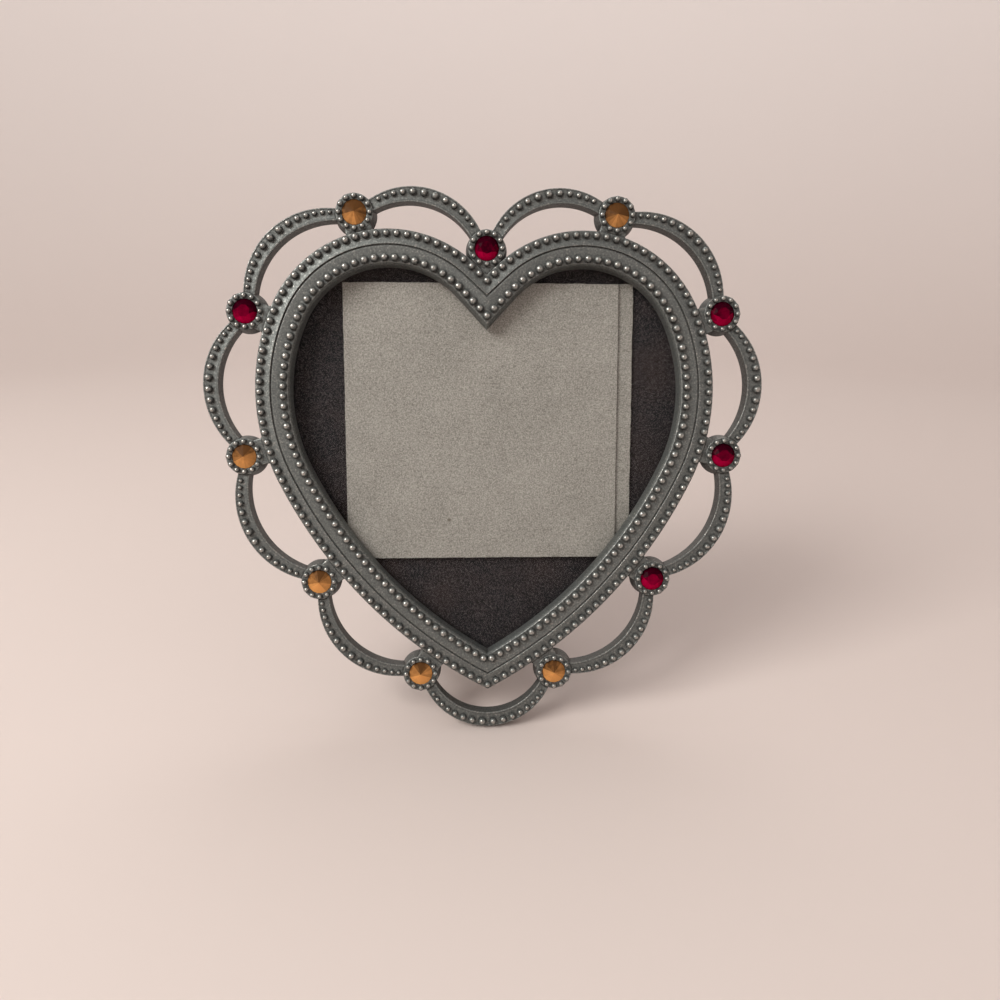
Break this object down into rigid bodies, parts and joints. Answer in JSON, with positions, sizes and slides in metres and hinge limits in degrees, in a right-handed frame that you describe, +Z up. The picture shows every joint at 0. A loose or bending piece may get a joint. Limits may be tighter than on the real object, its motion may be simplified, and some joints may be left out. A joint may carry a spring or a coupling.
{
  "type": "heart shaped photo frame",
  "caption": "Heart shaped cast metal photo frame with beaded mouldings, a lace of scallops set with faceted stones, a glazed window and a folding easel leg behind.",
  "frame": {"origin": "on the table, midway across the frame and midway between its foremost bead and the back of the leg's foot", "axes": "+X to the right of someone who looks at the picture, +Y to the back, +Z up"},
  "size_m": [0.1152, 0.0441, 0.1097],
  "materials": {
    "antique_pewter": "antiqued cast pewter, matt grey with dark recesses and rubbed bright beads",
    "ruby_glass": "faceted deep red glass",
    "amber_glass": "faceted orange glass",
    "clear_glass": "clear sheet",
    "grey_card": "uncoated speckled greyboard",
    "black_paper": "matt black lining paper, a little scuffed",
    "hardboard": "pressed fibre board",
    "black_velvet": "short pile velvet",
    "plated_steel": "nickel plated pressed steel",
    "brass": "dulled brass"
  },
  "bodies": {
    "frame": {"frame_casting": "antique_pewter", "inner_beads": "antique_pewter", "outer_beads": "antique_pewter", "scallop_beads": "antique_pewter", "setting_beads": "antique_pewter", "ruby_stone_1": "ruby_glass", "ruby_stone_2": "ruby_glass", "ruby_stone_3": "ruby_glass", "ruby_stone_4": "ruby_glass", "ruby_stone_5": "ruby_glass", "amber_stone_1": "amber_glass", "amber_stone_2": "amber_glass", "amber_stone_3": "amber_glass", "amber_stone_4": "amber_glass", "amber_stone_5": "amber_glass", "amber_stone_6": "amber_glass", "glazing_pane": "clear_glass", "front_card": "grey_card", "rear_card": "grey_card", "backing_lining": "black_paper", "backing_board": "hardboard", "backing_velvet": "black_velvet", "hinge_plate": "plated_steel", "hinge_pin": "plated_steel", "plate_rivets": "plated_steel", "turn_button_screws": "brass"},
    "easel_leg": {"leg_board": "hardboard", "leg_velvet": "black_velvet", "leg_leaf": "plated_steel", "leg_rivets": "plated_steel"},
    "turn_button_1": {"turn_button_1": "brass"},
    "turn_button_2": {"turn_button_2": "brass"},
    "turn_button_3": {"turn_button_3": "brass"},
    "turn_button_4": {"turn_button_4": "brass"}
  },
  "joints": [
    {"name": "easel_fold", "type": "hinge", "parent": "frame", "child": "easel_leg", "pos_m": [0, 0.00516, 0.0752], "axis": [1, 0, 0], "range_deg": [-24, 0]},
    {"name": "turn_button_1_turn", "type": "hinge", "parent": "frame", "child": "turn_button_1", "pos_m": [0.03192, 0.00888, 0.09549], "axis": [0, 0.9703, -0.2419], "continuous": true},
    {"name": "turn_button_2_turn", "type": "hinge", "parent": "frame", "child": "turn_button_2", "pos_m": [0.02265, -0.0086, 0.02538], "axis": [0, 0.9703, -0.2419], "continuous": true},
    {"name": "turn_button_3_turn", "type": "hinge", "parent": "frame", "child": "turn_button_3", "pos_m": [-0.03192, 0.00888, 0.09549], "axis": [0, 0.9703, -0.2419], "continuous": true},
    {"name": "turn_button_4_turn", "type": "hinge", "parent": "frame", "child": "turn_button_4", "pos_m": [-0.02265, -0.0086, 0.02538], "axis": [0, 0.9703, -0.2419], "continuous": true}
  ]
}
